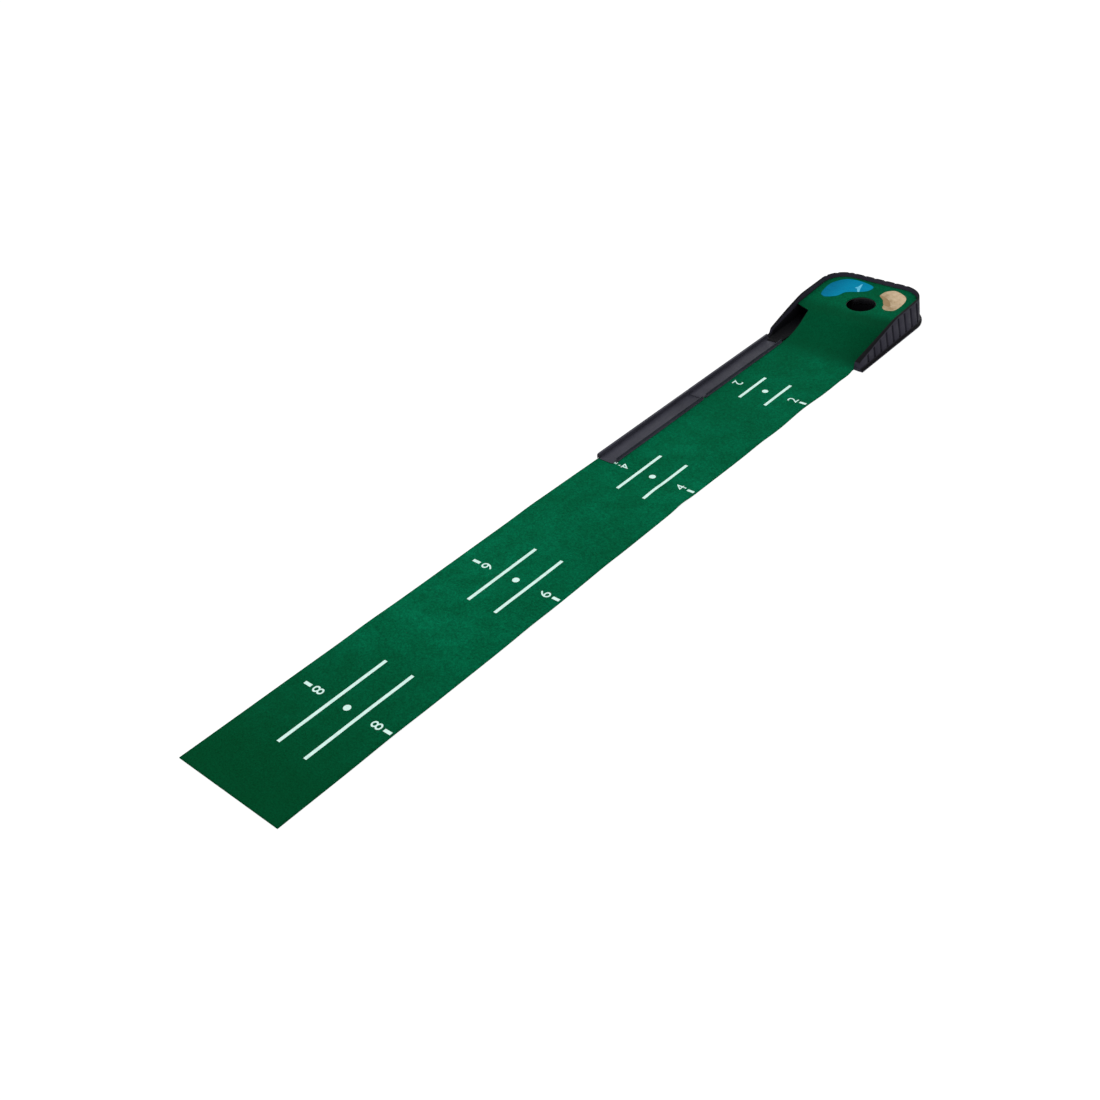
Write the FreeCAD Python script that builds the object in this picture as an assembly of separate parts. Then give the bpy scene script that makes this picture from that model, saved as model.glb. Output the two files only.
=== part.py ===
"""Practice putting mat with a gravity ball return.

A felt runner climbs a short ramp on to a raised deck with a cup. A moulded housing carries the
deck, a gutter under it brings the ball back to the left of the ramp, and two plug-together
channel sections lead it down the runner's left edge.

Millimetres. X across the runner, Y along it towards the cup, Z up. The origin is on the floor,
straight under the centre of the cup.
"""
import FreeCAD, Part
import math
import os

V = FreeCAD.Vector

# Runner
turf = 3.0
runner_width = 355.6
runner_left = -195.4
runner_right = runner_left + runner_width
runner_front = -2787.0
lead_start, lead_end = -348.0, -332.0       # the turf steps up on to the ramp's lip here
felt_split = -320.0                         # the felt is one sheet, modelled as two solids

# Ramp and deck, given on the top face of the turf. The deck climbs gently towards its back.
lip_rise = 1.2
deck_top = 63.0                             # at the cup's centre
deck_slope = 0.06
deck_angle = math.atan(deck_slope)
ramp_foot = lip_rise + turf
ramp_angle = math.radians(32.6)
crest_radius = 90.0
deck_start = -102.0
deck_start_z = deck_top + deck_slope * deck_start
crest_rise = crest_radius * (math.cos(deck_angle) - math.cos(ramp_angle))
crest_run = crest_radius * (math.sin(ramp_angle) - math.sin(deck_angle))
foot_radius = (deck_start_z - ramp_foot - crest_rise) / (1.0 - math.cos(ramp_angle))
ramp_start = deck_start - foot_radius * math.sin(ramp_angle) - crest_run
ramp_lip_front = -330.0
lip_left = -131.0                           # left of this the turf stays flat, under the track
hole_radius = 51.5

# Housing, plan of the inside of its wall
inner_left = runner_left - 2.0
inner_right = runner_right + 1.4
inner_rear = 161.5
inner_corner = 80.0
skin = 3.0
rim = (6.0, 6.0, 6.0)                       # how far out the wall stands: left, right, rear
wall_foot = (13.0, 24.0, 15.0)
skirt_edge = (19.5, 34.3, 21.0)
rim_top = 92.0
foot_gap = 1.0
nose_left, nose_right = -284.0, -330.0
left_taper_start = -150.0
left_taper = 6.0
skirt_top = 5.0
flare_top = 13.0
left_skirt_front = -236.0

# Layers under the turf, as depths below its top face
panel_top = turf
panel_bottom = turf + 3.0
ledge_bottom = panel_bottom + 3.0
strip_thickness = 0.8

# Upright flutes in the housing wall, each a wide shallow step with a narrow deeper one in it
flute_pitch = 43.0
flutes = ((13.0, 1.0, 2.0), (6.5, 2.1, 3.8))     # width, depth at the foot, depth at the rim
flute_foot = 10.5
flute_border = 4.5

# Gutter
channel_half = 26.0
gutter_wall = 2.0
chute_x = -166.0
bend_radius = 60.0
basin_radius = 55.0
gutter_front = -286.0
gutter_fall = 0.6
gutter_side = 37.0
notch_right = -137.0
notch_front = -289.0
notch_rear_left = V(-260.0, -74.0, 0)
notch_rear_right = V(-137.0, -119.0, 0)

# Ball-return track
track_start = -290.0
track_pitch = 470.0
track_walls = 452.0
rail_gap = 0.4
tongue = 19.0
track_bottom = turf + 0.2
track_floor = 2.0
track_left, track_right = -201.5, -135.0
rail_height = 15.5
bead_height = 12.0
track_wall = 1.8
rail_width = 5.7
flange_width = 4.4
track_count = 2

os.makedirs("parts", exist_ok=True)


def box(x0, y0, z0, x1, y1, z1):
    """A box between two corners."""
    return Part.makeBox(x1 - x0, y1 - y0, z1 - z0, V(x0, y0, z0))


def cylinder(x, y, z0, z1, radius):
    """An upright cylinder."""
    return Part.makeCylinder(radius, z1 - z0, V(x, y, z0))


def polygon(points):
    """A closed wire through points."""
    return Part.makePolygon(list(points) + [points[0]])


def prism(wire, z0, z1):
    """An upright prism on a plan wire drawn at z = 0."""
    face = Part.Face(wire)
    face.translate(V(0, 0, z0))
    return face.extrude(V(0, 0, z1 - z0))


def across(points, x0, x1):
    """A prism along X on a side-view outline given as (y, z) points."""
    wire = polygon([V(x0, y, z) for y, z in points])
    return Part.Face(wire).extrude(V(x1 - x0, 0, 0))


def filleted(points, radii):
    """The (y, z) points of a polyline with its inner corners rounded by tangent arcs."""
    out = [points[0]]
    for before, here, after, radius in zip(points, points[1:], points[2:], radii):
        a = V(before[0] - here[0], before[1] - here[1], 0).normalize()
        b = V(after[0] - here[0], after[1] - here[1], 0).normalize()
        half = a.getAngle(b) / 2
        reach = radius / math.tan(half)
        middle = (a + b).normalize() * (radius / math.sin(half))
        centre = V(here[0], here[1], 0) + middle
        start = V(here[0], here[1], 0) + a * reach - centre
        end = V(here[0], here[1], 0) + b * reach - centre
        turn = math.atan2(start.x * end.y - start.y * end.x, start.dot(end))
        steps = max(3, int(abs(turn) * radius / 8.0))
        for i in range(steps + 1):
            angle = turn * i / steps
            spun = V(
                start.x * math.cos(angle) - start.y * math.sin(angle),
                start.x * math.sin(angle) + start.y * math.cos(angle),
                0,
            )
            out.append((centre.x + spun.x, centre.y + spun.y))
    out.append(points[-1])
    return out


def deck_height(y):
    """The turf's top face on the deck."""
    return deck_top + deck_slope * y


def tilted(solid):
    """A solid drawn level at the cup, leant with the deck."""
    copy = solid.copy()
    copy.rotate(V(0, 0, deck_top), V(1, 0, 0), math.degrees(deck_angle))
    return copy


# --- Ramp profile -----------------------------------------------------------------------------

def arc_edge(cy, cz, radius, start, end):
    """An arc in the YZ plane between two angles, measured from +Y."""
    middle = (start + end) / 2
    a, b, c = [
        V(0, cy + radius * math.cos(t), cz + radius * math.sin(t)) for t in (start, middle, end)
    ]
    return Part.Arc(a, b, c).toShape(), a, c


def ramp_edges(depth, front, rear):
    """The ramp's curve at a depth below the turf's top face, from front to rear."""
    down, up = -math.pi / 2, math.pi / 2
    foot, a, b = arc_edge(
        ramp_start, ramp_foot + foot_radius, foot_radius + depth, down, down + ramp_angle
    )
    crest_y = deck_start + crest_radius * math.sin(deck_angle)
    crest_z = deck_start_z - crest_radius * math.cos(deck_angle)
    crest, c, d = arc_edge(
        crest_y, crest_z, crest_radius - depth, up + ramp_angle, up + deck_angle
    )
    start = V(0, front, ramp_foot - depth)
    end = V(0, rear, deck_height(rear) - depth / math.cos(deck_angle))
    return [
        Part.LineSegment(start, a).toShape(),
        foot,
        crest,
        Part.LineSegment(d, end).toShape(),
    ], start, end


def under_ramp(depth, front=-400.0, rear=300.0, low=-20.0, x0=-300.0, x1=300.0):
    """Everything below the ramp's curve at a depth."""
    edges, start, end = ramp_edges(depth, front, rear)
    corners = [end, V(0, rear, low), V(0, front, low), start]
    for a, b in zip(corners, corners[1:]):
        edges.append(Part.LineSegment(a, b).toShape())
    face = Part.Face(Part.Wire(Part.__sortEdges__(edges)))
    face.translate(V(x0, 0, 0))
    return face.extrude(V(x1 - x0, 0, 0))


def layer(top, bottom, front=-400.0, rear=300.0):
    """The band of the ramp between two depths."""
    return under_ramp(top, front, rear).cut(under_ramp(bottom, front, rear))


# --- Plan outlines ----------------------------------------------------------------------------

def plan(offset, front_left, front_right, taper=0.0):
    """The housing's plan outside its inner wall: a U closed across the front.

    The offset is (left, right, rear); the left side narrows by the taper towards its front end."""
    left = inner_left - offset[0]
    right = inner_right + offset[1]
    rear = inner_rear + offset[2]
    left_radius = inner_corner + offset[0]
    right_radius = inner_corner + 1.6 * offset[1]
    bulge = 1 - math.cos(math.pi / 4)
    points = [
        V(left + taper, front_left, 0),
        V(left, left_taper_start, 0),
        V(left, rear - left_radius, 0),
        V(left + left_radius, rear, 0),
        V(right - right_radius, rear, 0),
        V(right, rear - right_radius, 0),
        V(right, front_right, 0),
    ]
    left_mid = V(left + left_radius * bulge, rear - left_radius * bulge, 0)
    right_mid = V(right - right_radius * bulge, rear - right_radius * bulge, 0)
    line = lambda a, b: Part.LineSegment(a, b).toShape()
    edges = [
        line(points[0], points[1]),
        line(points[1], points[2]),
        Part.Arc(points[2], left_mid, points[3]).toShape(),
        line(points[3], points[4]),
        Part.Arc(points[4], right_mid, points[5]).toShape(),
        line(points[5], points[6]),
        line(points[6], points[0]),
    ]
    return Part.Wire(edges)


def grown(offset, amount):
    """An offset with the same amount added on every side."""
    return tuple(side + amount for side in offset)


def wall_offset(z):
    """How far out the wall's outer face stands at a height."""
    share = (z - foot_gap) / (rim_top - foot_gap)
    return tuple(low + (high - low) * share for low, high in zip(wall_foot, rim))


def drafted(low_offset, z0, high_offset, z1, inset=0.0, taper=left_taper):
    """A solid whose plan changes evenly from one offset to another."""
    low = plan(low_offset, nose_left + inset, nose_right + inset, taper)
    high = plan(high_offset, nose_left + 3 + inset, nose_right + 5 + inset, taper * 0.3)
    low.translate(V(0, 0, z0))
    high.translate(V(0, 0, z1))
    return Part.makeLoft([low, high], True, True)


def inner_prism(offset, z0=-10.0, z1=120.0):
    """An upright prism on the inner wall's plan, run out past the open front."""
    return prism(plan((offset, offset, offset), -420.0, -420.0), z0, z1)


def notch(grow=0.0):
    """The cut-out over the chute, on the left of the ramp."""
    outline = [
        notch_rear_left,
        notch_rear_right + V(grow, grow, 0),
        V(notch_right + grow, notch_front, 0),
        V(-260.0, notch_front, 0),
    ]
    solid = prism(polygon(outline), -10, 120)
    corner = [e for e in solid.Edges if is_upright_at(e, outline[1])]
    return solid.makeFillet(7.0, corner)


def is_upright_at(edge, place):
    """Whether an edge is the vertical one over a plan point."""
    return all(math.hypot(v.X - place.x, v.Y - place.y) < 0.01 for v in edge.Vertexes)


# --- Housing ----------------------------------------------------------------------------------

def rim_line(side):
    """The height of the housing's rim along one side, as (y, z) points from the front."""
    rear = (260.0, 89.0)
    if side == "right":
        points = [(nose_right - 5, 2.0), (nose_right + 8, 30.0), (-66.0, 79.0), rear]
        return filleted(points, (9.0, 260.0))
    points = [
        (nose_left - 6, foot_gap), (nose_left + 2, 8.0), (-266.0, 9.0), (-258.0, 27.0),
        (-66.0, 79.0), rear,
    ]
    return filleted(points, (3.0, 6.0, 8.0, 200.0))


def above_rim(side, lower=0.0):
    """Everything over one side's rim, which may be lowered."""
    points = [(y, z - lower) for y, z in rim_line(side)]
    front, rear = points[0][0], points[-1][0]
    closed = [(front - 60, points[0][1])] + points + [(rear, 140.0), (front - 60, 140.0)]
    x0, x1 = (40.0, 300.0) if side == "right" else (-300.0, 40.0)
    return across(closed, x0, x1)


def trim_rim(solid, lower=0.0):
    """A solid cut down to the rim on both sides."""
    return solid.cut(above_rim("left", lower)).cut(above_rim("right", lower))


def placed(solid, x, y, angle):
    """A solid turned about Z and moved."""
    copy = solid.copy()
    copy.rotate(V(0, 0, 0), V(0, 0, 1), angle)
    copy.translate(V(x, y, 0))
    return copy


def flute_slabs(width):
    """Upright slabs through the wall where the flutes run."""
    plate = box(40.0, -width / 2, flute_foot, 200.0, width / 2, 120.0)
    centre_y = inner_rear - inner_corner
    slabs = []
    for i in range(9):
        y = centre_y - 8.0 - flute_pitch * i
        slabs.append(placed(plate, 0.0, y, 0).cut(above_rim("right", flute_border)))
        if y > left_taper_start:
            slabs.append(placed(plate, 0.0, y, 180))
    for i in range(3):
        angle = 90.0 * (i + 0.5) / 3
        corner = inner_right - inner_corner
        slabs.append(placed(plate, corner, centre_y, angle).cut(above_rim("right", flute_border)))
        slabs.append(placed(plate, inner_left + inner_corner, centre_y, 180 - angle))
    span = inner_right - inner_left - 2 * inner_corner
    for i in range(6):
        slabs.append(placed(plate, inner_left + inner_corner + span * i / 5, 0.0, 90))
    return slabs


def fluting():
    """All the flutes to be cut from the wall's outer face."""
    outer = drafted(grown(wall_foot, 1.0), foot_gap, grown(rim, 1.0), rim_top)
    cut = []
    for width, low, high in flutes:
        core = drafted(grown(wall_foot, -low), foot_gap - 1, grown(rim, -high), rim_top + 1)
        layer_solid = outer.cut(core)
        slabs = flute_slabs(width)
        cut.append(slabs[0].multiFuse(slabs[1:]).common(layer_solid))
    return cut


def skirt():
    """The proud band round the housing's base, with the hollow flare above it."""
    steps = [
        (foot_gap, skirt_edge),
        (skirt_top, skirt_edge),
        (skirt_top + 1.5, grown(skirt_edge, -2.5)),
        (skirt_top + 3.0, grown(wall_offset(skirt_top + 3.0), 2.6)),
        (skirt_top + 5.0, grown(wall_offset(skirt_top + 5.0), 1.0)),
        (flare_top, wall_offset(flare_top)),
    ]
    band = None
    for (z0, low), (z1, high) in zip(steps, steps[1:]):
        wires = []
        for z, offset in ((z0, low), (z1, high)):
            wire = plan(offset, nose_left, nose_right, left_taper)
            wire.translate(V(0, 0, z))
            wires.append(wire)
        piece = Part.makeLoft(wires, True, True)
        band = piece if band is None else band.fuse(piece)
    return band.cut(box(-300, -400, -5, inner_left - 8.0, left_skirt_front, 40))


FEET = {
    "foot_front_right": (inner_right + 20.0, -300.0),
    "foot_rear_right": (inner_right + 20.0, 30.0),
    "foot_rear_left": (inner_left - 11.0, 60.0),
    "foot_mid_left": (inner_left - 11.0, -150.0),
}
tab_reach = 12.0
TABS = (
    (inner_right - tab_reach, 60.0, 0), (inner_right - tab_reach, -62.0, 0),
    (inner_left + tab_reach, 60.0, 180), (inner_left + tab_reach, -20.0, 180),
    (-85.0, inner_rear - tab_reach, 90), (50.0, inner_rear - tab_reach, 90),
)


def tab_level(y):
    """The top of a screw tab, a little below the deck's panel."""
    return deck_height(y) - panel_bottom - 7.0


foot_radius_mm = 7.0
foot_recess = 1.5


def ribbed_surround():
    """The housing's outer moulding: a drafted double wall with a ledge inside for the deck."""
    outer = trim_rim(drafted(wall_foot, foot_gap, rim, rim_top).fuse(skirt()))
    core = drafted(grown(wall_foot, -skin), foot_gap - 1, grown(rim, -skin - 1.8), rim_top, skin)
    shell = outer.cut(trim_rim(core, 12.0)).cut(inner_prism(0))
    beside_chute = box(-400, -420, -10, -150, -82, 120)
    lining = inner_prism(skin).cut(inner_prism(0))
    lining = lining.cut(under_ramp(ledge_bottom).cut(beside_chute)).common(outer)
    ledge = inner_prism(skin).cut(inner_prism(-5.0)).common(layer(panel_bottom, ledge_bottom))
    ledge = ledge.common(outer).cut(beside_chute)
    shell = shell.fuse(lining).fuse(ledge)
    shell = shell.cut(box(-300, -400, -20, 300, 300, foot_gap))
    for x, y, angle in TABS:
        tab_top = tab_level(y)
        tab = cylinder(0, 0, tab_top - skin, tab_top, 7.0)
        tab = tab.fuse(box(0, -7.0, tab_top - skin, tab_reach + 1.0, 7.0, tab_top))
        tab = tab.fuse(box(tab_reach, -7.0, tab_top - skin, tab_reach + skin, 7.0, tab_top + 6.0))
        tab = tab.cut(cylinder(0, 0, 0, 100, screw_radius + 0.3))
        shell = shell.fuse(placed(tab, x, y, angle))
    for x, y in FEET.values():
        pad = cylinder(x, y, foot_gap, foot_gap + foot_recess + 2.0, foot_radius_mm + 2.0)
        shell = shell.fuse(pad)
        shell = shell.cut(cylinder(x, y, -1, foot_gap + foot_recess, foot_radius_mm))
    for cutter in fluting():
        shell = shell.cut(cutter)
    return shell.removeSplitter()


def foot(x, y):
    """One round rubber foot, let into the housing's base."""
    solid = cylinder(x, y, 0, foot_gap + foot_recess, foot_radius_mm)
    rim = [e for e in solid.Edges if abs(e.BoundBox.ZMax) < 0.01]
    return solid.makeChamfer(0.5, rim)


STRIPS = {
    "hook_strip_deck_rear": (-120.0, 118.0, 85.0, 143.0),
    "hook_strip_deck_front": (-100.0, -92.0, 130.0, -67.0),
    "hook_strip_ramp_left": (-120.0, -280.0, -90.0, -120.0),
    "hook_strip_ramp_right": (110.0, -280.0, 140.0, -120.0),
}


def hook_strip(x0, y0, x1, y1):
    """One hook-and-loop strip that holds the turf down, let into the panel's top face."""
    return layer(panel_top, panel_top + strip_thickness).common(box(x0, y0, -10, x1, y1, 120))


SLEEVE_FLANGE = 58.0
SLEEVE_WALL = 1.6
SLEEVE_DEPTH = 23.0
screw_radius = 1.9
LUGS = ((0.0, 64.0), (0.0, -64.0), (64.0, 0.0))
lug_radius = 6.0
basin_rim = 7.5                             # the basin's rim and lugs, below the deck's panel


def ramp_deck():
    """The moulded panel under the turf: ramp and deck in one, with ribs, bosses and the hole."""
    panel = layer(panel_top, panel_bottom, ramp_lip_front, 300.0)
    panel = panel.common(box(-300, -400, 0, 300, 300, 120))
    panel = panel.common(inner_prism(-0.4)).cut(notch())
    panel = panel.cut(box(-300, -400, -10, lip_left, notch_front, 120))
    ribs = panel_ribs()
    panel = panel.fuse(ribs)
    for x, y in LUGS:
        panel = panel.fuse(cylinder(x, y, lug_level(y) + 0.1, deck_height(y) - panel_bottom + 0.5, 4.5))
        panel = panel.cut(cylinder(x, y, 0, deck_height(y) - panel_top - 1.5, screw_radius - 0.15))
    for x, y, _ in TABS:
        panel = panel.fuse(cylinder(x, y, tab_level(y) + 0.1, deck_height(y) - panel_bottom + 0.5, 4.5))
        panel = panel.cut(cylinder(x, y, 0, deck_height(y) - panel_top - 1.5, screw_radius - 0.15))
    sleeve_outer = hole_radius - 0.9 + SLEEVE_WALL
    panel = panel.cut(tilted(cylinder(0, 0, 20, 100, sleeve_outer + 0.1)))
    flange_z = deck_top - panel_top - 1.2
    panel = panel.cut(tilted(cylinder(0, 0, flange_z, 100, SLEEVE_FLANGE + 0.2)))
    for corners in STRIPS.values():
        panel = panel.cut(hook_strip(*corners))
    return panel.removeSplitter()


def lug_level(y):
    """The top of the gutter's rim and screw lugs."""
    return deck_height(y) - panel_bottom - basin_rim


def panel_ribs():
    """Stiffening ribs under the ramp and deck, kept out of the ball's way."""
    rib = 2.0
    depth = 7.0
    zone = under_ramp(panel_bottom - 0.5).cut(under_ramp(panel_bottom + depth))
    zone = zone.common(inner_prism(-8.0, 0.5, 120)).common(box(-300, -262, 0.5, 300, 300, 120))
    plates = []
    for x in (-112.0, -68.0, 68.0, 118.0):
        plates.append(box(x, -270, 0, x + rib, 170, 80))
    for y in (-235.0, -190.0, -145.0, -100.0, 62.0, 112.0, 160.0):
        plates.append(box(-192, y, 0, 157, y + rib, 80))
    ribs = plates[0].multiFuse(plates[1:]).common(zone)
    ribs = ribs.cut(gutter_plan(gutter_wall + 8.0, -10, 100, gutter_front))
    for x, y, _ in TABS:
        ribs = ribs.cut(cylinder(x, y, 0, 100, 9.0))
    return ribs.cut(notch(3.0))


def cup_sleeve():
    """The cup's wall: a short tube hung in the deck, with a gate for the ball on the left."""
    inner = hole_radius - 0.9
    outer = inner + SLEEVE_WALL
    top = deck_top - panel_top
    body = cylinder(0, 0, top - SLEEVE_DEPTH, top, outer)
    body = body.fuse(cylinder(0, 0, top - 1.2, top, SLEEVE_FLANGE))
    body = body.cut(cylinder(0, 0, 0, 100, inner))
    gate = box(-80, -24.5, 0, 0, 24.5, deck_top - panel_bottom - 0.5)
    return tilted(body.cut(gate))


# --- Gutter -----------------------------------------------------------------------------------

def gutter_plan(grow, z0, z1, front):
    """The gutter's plan as a prism: a round basin, a run, a quarter bend and the chute."""
    half = channel_half + grow
    corner_x = chute_x + bend_radius
    basin = cylinder(0, 0, z0, z1, basin_radius + grow)
    run = box(corner_x, -half, z0, 0, half, z1)
    bend = cylinder(corner_x, -bend_radius, z0, z1, bend_radius + half)
    bend = bend.cut(cylinder(corner_x, -bend_radius, z0, z1, bend_radius - half))
    bend = bend.common(box(corner_x - 200, -bend_radius, z0, corner_x, 200, z1))
    chute = box(chute_x - half, front, z0, chute_x + half, -bend_radius, z1)
    return basin.multiFuse([run, bend, chute])


def gutter_wall_line():
    """The top of the chute's left wall, as (y, z) points from the front."""
    points = [(gutter_front + 14, 5.5), (-254.0, 22.0), (-106.0, 49.5), (200.0, 49.5)]
    return filleted(points, (14.0, 60.0))


def return_gutter():
    """The gutter under the deck: catches the ball in the basin and leads it to the track."""
    floor_thickness = 2.0
    front_level = 5.4
    outside = gutter_plan(gutter_wall, 0, gutter_side, gutter_front)
    inside = gutter_plan(0, floor_thickness, 100, gutter_front - 1)
    left = box(chute_x - channel_half - gutter_wall, gutter_front, 0, chute_x - channel_half, -85, 60)
    right_x = chute_x + channel_half
    right = box(right_x, gutter_front, 0, right_x + gutter_wall, -95, 60)
    bucket = cylinder(0, 0, 0, 60, basin_radius + gutter_wall)
    tray = outside.multiFuse([left, right, bucket]).cut(inside)
    tongue_plate = box(
        chute_x - channel_half + 3, gutter_front - tongue, floor_thickness - 0.9,
        chute_x + channel_half - 3, gutter_front + 2, floor_thickness,
    )
    tray = tray.fuse(tongue_plate)
    tilt_axis = V(0.87, -0.49, 0)
    tray.rotate(V(chute_x, gutter_front, 0), tilt_axis, gutter_fall)
    tray.translate(V(0, 0, front_level - floor_thickness))
    points = gutter_wall_line()
    cutter = [(-420.0, 5.5), (points[0][0], 5.5)] + points[1:] + [(200.0, 140.0), (-420.0, 140.0)]
    tray = tray.cut(across(cutter, -230, chute_x))
    beside_ramp = box(right_x - 1.5, -400, front_level + 3.0, 200, -128, 120)
    tray = tray.cut(beside_ramp.cut(under_ramp(panel_top)))
    under_deck = box(chute_x, -128, -5, 200, 300, 120)
    tray = tray.cut(under_deck.cut(under_ramp(panel_bottom + 0.4)))
    tray = tray.cut(box(-120, -80, -5, 120, 80, 120).cut(under_ramp(panel_bottom + basin_rim)))
    for x, y in LUGS:
        level = lug_level(y)
        lug = cylinder(0, 0, level - skin, level, lug_radius)
        lug = lug.fuse(box(-12.0, -lug_radius, level - skin, 0, lug_radius, level))
        lug = placed(lug, x, y, math.degrees(math.atan2(y, x)))
        tray = tray.fuse(lug.cut(cylinder(0, 0, 0, 100, basin_radius + 1.0)))
        tray = tray.cut(cylinder(x, y, 0, level + 1, screw_radius + 0.3))
    stand = cylinder(0, 0, 0, 7.8, 22.0).cut(cylinder(0, 0, 1.6, 30, 19.5))
    return tray.fuse(stand).removeSplitter()


def screw(x, y, seat, length):
    """One pan-head screw driven upwards, its head under the seat height."""
    head_height = 2.2
    shank = cylinder(x, y, seat - 0.2, seat + length, screw_radius - 0.2)
    head = Part.makeCylinder(3.6, head_height, V(x, y, seat - head_height))
    low = [e for e in head.Edges if abs(e.BoundBox.ZMax - (seat - head_height)) < 0.01]
    head = head.makeFillet(1.0, low)
    slot = box(x - 2.2, y - 0.4, seat - 3.0, x + 2.2, y + 0.4, seat - 1.2)
    cross = box(x - 0.4, y - 2.2, seat - 3.0, x + 0.4, y + 2.2, seat - 1.2)
    return shank.fuse(head).cut(slot).cut(cross).removeSplitter()


def gutter_screws():
    """The screws that hold the gutter up to the deck."""
    return Part.makeCompound([screw(x, y, lug_level(y) - skin, 10.0) for x, y in LUGS])


def deck_screws():
    """The screws that hold the deck down on the housing's tabs."""
    return Part.makeCompound([screw(x, y, tab_level(y) - skin, 10.0) for x, y, _ in TABS])


# --- Turf -------------------------------------------------------------------------------------

def turf_runner():
    """The felt on the floor, from its near end to the ramp's lip, with the strip under the track."""
    runner = box(runner_left, runner_front, 0, runner_right, lead_start, turf)
    strip = box(runner_left, lead_start, 0, lip_left - 1.0, notch_front, turf)
    step = across(
        [
            (lead_start, 0), (lead_end, lip_rise), (felt_split, lip_rise),
            (felt_split, ramp_foot), (lead_end, ramp_foot), (lead_start, turf),
        ],
        lip_left - 1.0, runner_right,
    )
    return runner.multiFuse([strip, step]).removeSplitter()


def turf_deck():
    """The felt on the ramp and the deck; it is one sheet with the runner's."""
    felt = layer(0, turf, felt_split, 300.0).common(inner_prism(-2.0))
    felt = felt.cut(box(-300, -400, -10, lip_left - 1.0, notch_front, 120))
    felt = felt.common(box(-300, -400, -10, runner_right, 300, 120)).cut(notch())
    return felt.cut(tilted(cylinder(0, 0, 0, 100, hole_radius))).removeSplitter()


# --- Track ------------------------------------------------------------------------------------

def rail_section(y0, y1):
    """The left rail: an inner wall, a flat top and an outer skirt, hollow below."""
    top = track_bottom + rail_height
    wall_x = track_left + rail_width
    outer = box(track_left, y0, track_bottom, wall_x + track_wall, y1, top)
    hollow = box(track_left + track_wall, y0 - 1, track_bottom - 1, wall_x, y1 + 1, top - track_wall)
    rail = outer.cut(hollow)
    edges = [e for e in rail.Edges if abs(e.BoundBox.ZMin - top) < 0.01 and e.BoundBox.YLength > 50]
    return rail.makeFillet(1.0, edges)


def bead_section(y0, y1):
    """The right side: a low wall with a rounded top and a flat flange outside it."""
    top = track_bottom + bead_height
    wall_x = track_right - flange_width - track_wall
    wall = box(wall_x, y0, track_bottom, wall_x + track_wall, y1, top)
    edges = [e for e in wall.Edges if abs(e.BoundBox.ZMin - top) < 0.01 and e.BoundBox.YLength > 50]
    wall = wall.makeFillet(0.8, edges)
    return wall.fuse(box(wall_x, y0, track_bottom, track_right, y1, track_bottom + track_floor))


def flared_end(y):
    """The right wall's lower end, turned outwards in a quarter round."""
    wall_x = track_right - flange_width - track_wall
    radius = 6.0
    centre_x, centre_y = wall_x + track_wall + radius, y
    ring = cylinder(centre_x, centre_y, track_bottom, track_bottom + bead_height - 1.5, radius + track_wall)
    ring = ring.cut(cylinder(centre_x, centre_y, 0, 60, radius))
    quarter = box(wall_x - 1, y - 20, 0, centre_x, y, 60)
    return ring.common(quarter)


def track_section(index):
    """One of the two identical channel mouldings, in its place."""
    start = track_start - track_pitch * index
    walls_end = start - track_walls
    lap = 20.0
    wall_x = track_left + rail_width
    half_lap = track_floor / 2
    floor = box(wall_x, walls_end, track_bottom, track_right, start, track_bottom + track_floor)
    rail_end = start - track_pitch + rail_gap
    body = floor.fuse(rail_section(rail_end, start)).fuse(bead_section(walls_end, start))
    lip = box(
        wall_x + track_wall + 0.6, walls_end - tongue, track_bottom + half_lap,
        track_right - flange_width - track_wall - 0.6, walls_end + 2, track_bottom + track_floor,
    )
    corner = [e for e in lip.Edges if e.BoundBox.ZLength > 0.5 and e.BoundBox.YMax < walls_end - 5]
    body = body.fuse(lip.makeFillet(5.0, corner)).fuse(flared_end(walls_end))
    body = body.cut(box(
        wall_x + track_wall, start - lap, track_bottom + half_lap - 0.4,
        track_right - flange_width - track_wall, start + 1, track_bottom + track_floor + 0.5,
    ))
    bevel = across(
        [(rail_end - 1, track_bottom + 11.0), (rail_end - 1, 60), (rail_end + 7, 60),
         (rail_end + 7, track_bottom + rail_height + 1)],
        track_left - 1, wall_x + track_wall + 0.1,
    )
    return body.cut(bevel).removeSplitter()


def export(shape, name):
    """Writes one sub-part, and says how large it is."""
    shape.exportStep("parts/" + name + ".step")
    bounds = shape.BoundBox
    sizes = (bounds.XMin, bounds.XMax, bounds.YMin, bounds.YMax, bounds.ZMin, bounds.ZMax)
    text = " ".join("%.1f" % value for value in sizes)
    print("%-24s solids %d valid %s vol %.0f box %s" % (
        name, len(shape.Solids), shape.isValid(), shape.Volume, text
    ))


export(turf_runner(), "turf_runner")
export(turf_deck(), "turf_deck")
export(ribbed_surround(), "ribbed_surround")
export(ramp_deck(), "ramp_deck")
export(cup_sleeve(), "cup_sleeve")
export(return_gutter(), "return_gutter")
export(gutter_screws(), "gutter_screws")
export(deck_screws(), "deck_screws")
for name, corners in STRIPS.items():
    export(hook_strip(*corners), name)
for name, place in FEET.items():
    export(foot(*place), name)
for number, name in enumerate(("track_upper", "track_lower")[:track_count]):
    export(track_section(number), name)
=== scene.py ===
"""The putting mat's looks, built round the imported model. Metres, in the row frame."""
import bpy
import math
from mathutils import Matrix, Vector, noise
from mathutils.geometry import delaunay_2d_cdt


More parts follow.
